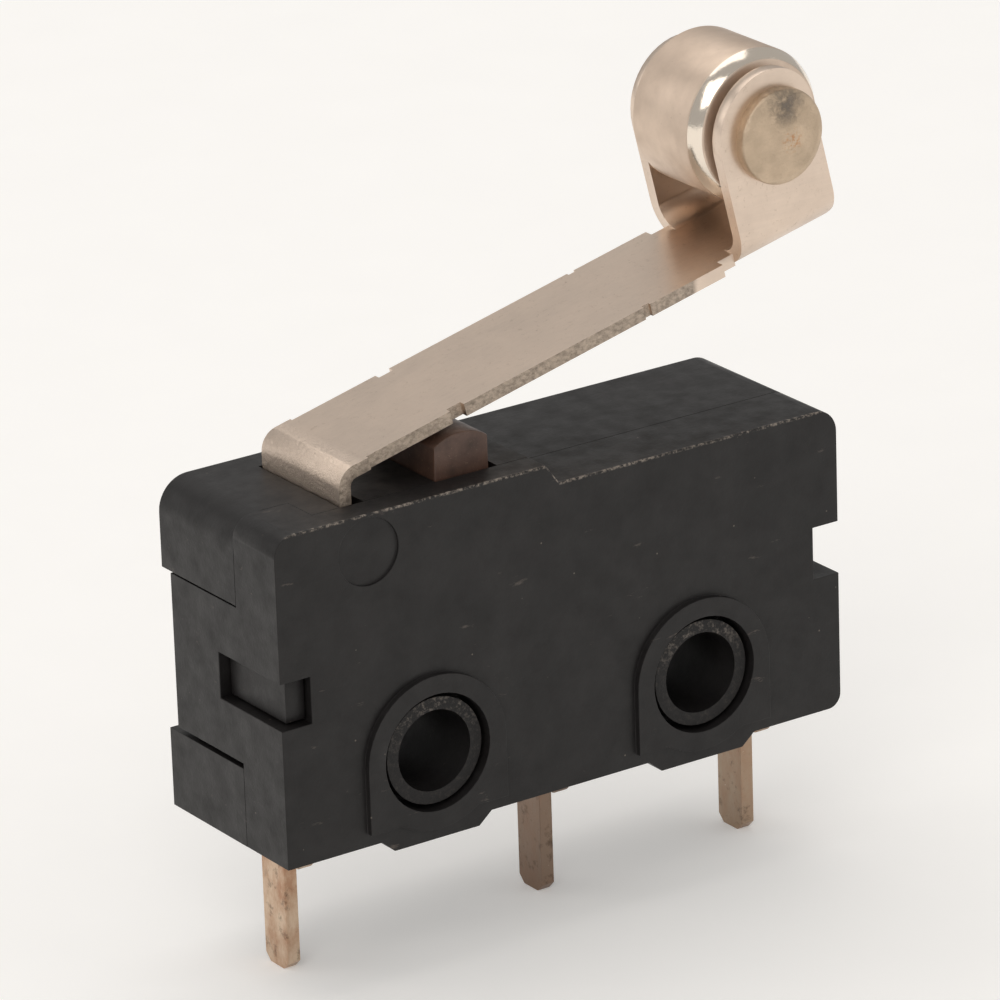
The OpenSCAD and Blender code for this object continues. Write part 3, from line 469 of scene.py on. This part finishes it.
class MICRO_OT_shells(bpy.types.Operator):
    """Finish the two moulded shells"""
    bl_idname = "micro_switch.shells"
    bl_label = "Moulded shells"

    def execute(self, context):
        look = context.scene.micro_body
        black = moulded_pbt("moulded black PBT", look.moulding, look.spark_grain)
        rear = moulded_pbt("moulded black PBT, rear shell", look.moulding, look.spark_grain, 0.6)
        # The boss rim's pale rubbed speckle carries a painted highlight towards its top
        rim = rubbed_boss_rim_with_painted_highlight("rubbed black PBT, painted top highlight", look.moulding, look.spark_grain)
        case = softened("case", "rear_shell", look.edge, rear, rim)
        softened("cover", "front_shell", look.edge, black)
        # The ends of the bosses stand in the face of the cover
        holes = [Vector((side * HOLE_PITCH / 2, 0)) for side in (-1, 1)]
        boss_end = COVER_LOW.y + 2 * PAD_RISE
        for face in case.data.polygons:
            at = face.center
            near = min((Vector((at.x, at.z)) - hole).length for hole in holes)
            if at.y < boss_end and near < BOSS_R:
                face.material_index = 1
        return {"FINISHED"}


class MICRO_OT_plunger(bpy.types.Operator):
    """Finish the plunger under the lever"""
    bl_idname = "micro_switch.plunger"
    bl_label = "Plunger"

    def execute(self, context):
        look = context.scene.micro_body
        brown = thermoset_button("moulded brown phenolic", look.button)
        softened("plunger", "button", 0.06 * MM, brown)
        return {"FINISHED"}


class MICRO_OT_lever(bpy.types.Operator):
    """Finish the folded lever"""
    bl_idname = "micro_switch.lever"
    bl_label = "Folded lever"

    def execute(self, context):
        look = context.scene.micro_steel
        steel = rolled_steel("cold rolled stainless sheet", look.sheet, look.sheared)
        softened("lever", "folded_lever", look.edge, steel)
        return {"FINISHED"}


class MICRO_OT_roller(bpy.types.Operator):
    """Turn the roller with its bright chamfers"""
    bl_idname = "micro_switch.roller"
    bl_label = "Roller"

    def execute(self, context):
        look = context.scene.micro_roller
        outer = (ROLLER_HIGH.z - ROLLER_LOW.z) / 2
        front, back = ROLLER_LOW.y, ROLLER_HIGH.y
        bore = PIN_R + PIN_CLEARANCE
        drop, run, lip = 0.3 * MM, 0.45 * MM, 0.04 * MM
        slope = Vector((drop, run)).normalized() * lip
        half = [(bore, front), (outer - drop - lip, front), (outer - drop + slope.x, front + slope.y),
                (outer - slope.x, front + run - slope.y), (outer, front + run + lip)]
        # The rear end has only its edge broken, so that it fills the fork
        small = 0.1 * MM
        far = [(outer, back - small), (outer - small, back), (bore, back)]
        shape = turned(half + far + half[:1])
        piece = finished(shape, "turned_roller", [
            ground_track("turned nickel plated steel", look.track),
            polished_chamfer("bright turned chamfer", look.polish)], "roller")
        margin = 0.02 * MM
        for face in piece.data.polygons:
            at = Vector((face.center.x - ROLLER_AXIS.x, face.center.z - ROLLER_AXIS.z)).length
            y = face.center.y
            in_front = front + margin < y < front + run
            at_back = back - small < y < back - margin
            if (in_front or at_back) and at > outer - drop - 0.05 * MM:
                face.material_index = 1
        return {"FINISHED"}


class MICRO_OT_rivet(bpy.types.Operator):
    """Head the pin that carries the roller"""
    bl_idname = "micro_switch.rivet"
    bl_label = "Rivet"

    def execute(self, context):
        look = context.scene.micro_roller
        wide = (PIN_HIGH.x - PIN_LOW.x) / 2
        tip = PIN_HIGH.y
        seat = tip - HEAD_HEIGHT
        rim = 0.1 * MM
        side = [(PIN_R, 0), (PIN_R, seat), (wide, seat)]
        side += arc((wide - rim, tip - rim - 0.05 * MM), rim, 0, 62, 4)
        side += [(wide - 0.22 * MM, tip), (0.6 * MM, tip - 0.015 * MM), (0, tip - 0.03 * MM)]
        other = [(r, -y) for r, y in reversed(side)]
        shape = turned(other[:-1] + side)
        metal = headed_rivet("headed nickel plated steel", look.head)
        finished(shape, "roller_rivet", [metal], "roller_pin")
        return {"FINISHED"}


class MICRO_OT_terminals(bpy.types.Operator):
    """Finish the three solder terminals"""
    bl_idname = "micro_switch.terminals"
    bl_label = "Terminals"

    def execute(self, context):
        worn = tinned_brass("tinned brass strip, tin worn thin", linear("#d8c2aa"), 0.7)
        dark = tinned_brass("tinned brass strip, tarnished", linear("#86776a"), 0.1)
        grey = tinned_brass("tinned brass strip", linear("#aa9986"), 0.25)
        for node, metal in (("com_terminal", worn), ("no_terminal", dark), ("nc_terminal", grey)):
            softened(node, node + "_strip", 0.03 * MM, metal)
        return {"FINISHED"}


class MICRO_OT_mechanism(bpy.types.Operator):
    """Finish the snap mechanism inside the shells"""
    bl_idname = "micro_switch.mechanism"
    bl_label = "Snap mechanism"

    def execute(self, context):
        silver = plain_metal("silver contact rivet", "#d9d6cf", 0.3 * MM, 0.18, 0.34)
        copper = plain_metal("stamped beryllium copper", "#c07c4f", 0.8 * MM, 0.24, 0.38)
        steel = plain_metal("stamped stainless sheet", "#b9b0a5", 0.9 * MM, 0.28, 0.42)
        wire = plain_metal("drawn spring wire", "#8f8c88", 0.3 * MM, 0.22, 0.34)
        finishes = {"no_contact": silver, "nc_contact": silver, "moving_contact": silver,
                    "moving_blade": copper, "inner_lever": steel, "snap_spring": wire}
        for node, metal in finishes.items():
            slots = frame["nodes"][node].data.materials
            slots.clear()
            slots.append(metal)
        return {"FINISHED"}


class MICRO_OT_stage(bpy.types.Operator):
    """Set up floor, lamps, surroundings and camera"""
    bl_idname = "micro_switch.stage"
    bl_label = "Stage"

    def execute(self, context):
        look = context.scene.micro_stage
        low, high = CAD_BOX
        self.lay_floor(look, low[2])
        self.hang_lamps(look)
        self.light_world()
        self.place_camera(context)
        context.scene.view_settings.view_transform = "Standard"
        return {"FINISHED"}

    def lay_floor(self, look, height):
        shape = bmesh.new()
        bmesh.ops.create_grid(shape, x_segments=1, y_segments=1, size=1.2)
        bmesh.ops.translate(shape, vec=(0, 0, height), verts=shape.verts)
        mesh = bpy.data.meshes.new("floor")
        shape.to_mesh(mesh)
        shape.free()
        material, tree, shader, place = blank("pale matt card")
        fibre = noise(tree, place, 3 * MM, 4, 0.6)
        card = tint(tree, ramp(tree, fibre, 0.3, 0.7), look.floor, [c * 0.985 for c in look.floor])
        tree.links.new(card, shader.inputs["Base Color"])
        shader.inputs["Roughness"].default_value = 0.9
        shader.inputs["Emission Color"].default_value = (1, 1, 1, 1)
        ray = add(tree, "LightPath")
        seen = times(tree, ray.outputs["Is Camera Ray"], ray.outputs["Is Glossy Ray"], "MAXIMUM")
        seen = times(tree, seen, ray.outputs["Is Transmission Ray"], "MAXIMUM")
        tree.links.new(times(tree, seen, 0.16), shader.inputs["Emission Strength"])
        mesh.materials.append(material)
        floor = bpy.data.objects.new("floor", mesh)
        bpy.context.scene.collection.objects.link(floor)

    def hang_lamps(self, look):
        lamps = [
            # name, place, size, brightness of its face where 1 is white
            ("key softbox", (-0.50, -0.50, 0.62), 0.60, 2.0),
            ("fill softbox", (0.60, -0.40, 0.25), 0.50, 0.55),
            ("top softbox", (0.05, 0.25, 0.80), 0.80, 1.1),
            ("rim strip", (-0.50, 0.45, 0.30), 0.40, 0.9),
        ]
        for name, place, size, face in lamps:
            data = bpy.data.lights.new(name, "AREA")
            data.size = size
            data.energy = face * pi * size * size * look.lamps
            data.color = (1.0, 0.965, 0.925)
            lamp = bpy.data.objects.new(name, data)
            lamp.location = place
            toward = Vector((0, 0, 0.005)) - Vector(place)
            lamp.rotation_euler = toward.to_track_quat("-Z", "Y").to_euler()
            bpy.context.scene.collection.objects.link(lamp)

    def light_world(self):
        world = bpy.data.worlds.new("white studio")
        world.use_nodes = True
        tree = world.node_tree
        tree.nodes.clear()
        ray = add(tree, "LightPath")
        level = ramp(tree, ray.outputs["Is Camera Ray"], 0, 1, 0.45, 1.0)
        sky = add(tree, "Background", {"Strength": level}, {"Color": (1.0, 0.985, 0.965, 1)})
        add(tree, "OutputWorld", {"Surface": sky.outputs[0]})
        bpy.context.scene.world = world

    def place_camera(self, context):
        turn, tilt, roll = radians(-33.695), radians(20.783), radians(-1.954)
        back = Vector((sin(turn) * cos(tilt), -cos(turn) * cos(tilt), sin(tilt)))
        right = (-back).cross(Vector((0, 0, 1))).normalized()
        up = right.cross(-back)
        across = cos(roll) * right + sin(roll) * up
        upward = cos(roll) * up - sin(roll) * right
        data = bpy.data.cameras.new("camera")
        data.lens = 260.63
        data.sensor_width = 36
        data.clip_start = 0.01
        camera = bpy.data.objects.new("camera", data)
        look_at = Vector((-0.109, 0, 5.721)) * MM
        turn_to = Matrix((across, upward, back)).transposed().to_4x4()
        camera.matrix_world = Matrix.Translation(look_at + back * 212.28 * MM) @ turn_to
        context.scene.collection.objects.link(camera)
        context.scene.camera = camera


class MICRO_PT_panel(bpy.types.Panel):
    """Sizes and finishes of the switch"""
    bl_idname = "MICRO_PT_panel"
    bl_label = "Micro switch"
    bl_space_type = "VIEW_3D"
    bl_region_type = "UI"
    bl_category = "Micro switch"

    def draw(self, context):
        for name, group in SETTINGS:
            box = self.layout.box()
            for field in group.__annotations__:
                box.prop(getattr(context.scene, name), field)
        for step in STEPS:
            self.layout.operator(step.bl_idname)


SETTINGS = (("micro_body", BodySettings), ("micro_steel", SteelSettings),
            ("micro_roller", RollerSettings), ("micro_stage", StageSettings))
STEPS = (MICRO_OT_shells, MICRO_OT_plunger, MICRO_OT_lever, MICRO_OT_roller, MICRO_OT_rivet,
         MICRO_OT_terminals, MICRO_OT_mechanism, MICRO_OT_stage)


def register():
    for name, group in SETTINGS:
        bpy.utils.register_class(group)
        setattr(bpy.types.Scene, name, PointerProperty(type=group))
    for step in (*STEPS, MICRO_PT_panel):
        bpy.utils.register_class(step)


def unregister():
    for step in reversed((*STEPS, MICRO_PT_panel)):
        bpy.utils.unregister_class(step)
    for name, group in reversed(SETTINGS):
        delattr(bpy.types.Scene, name)
        bpy.utils.unregister_class(group)


def main():
    register()
    for step in STEPS:
        group, name = step.bl_idname.split(".")
        getattr(getattr(bpy.ops, group), name)()
    bpy.context.view_layer.update()


if __name__ == "__main__":
    main()
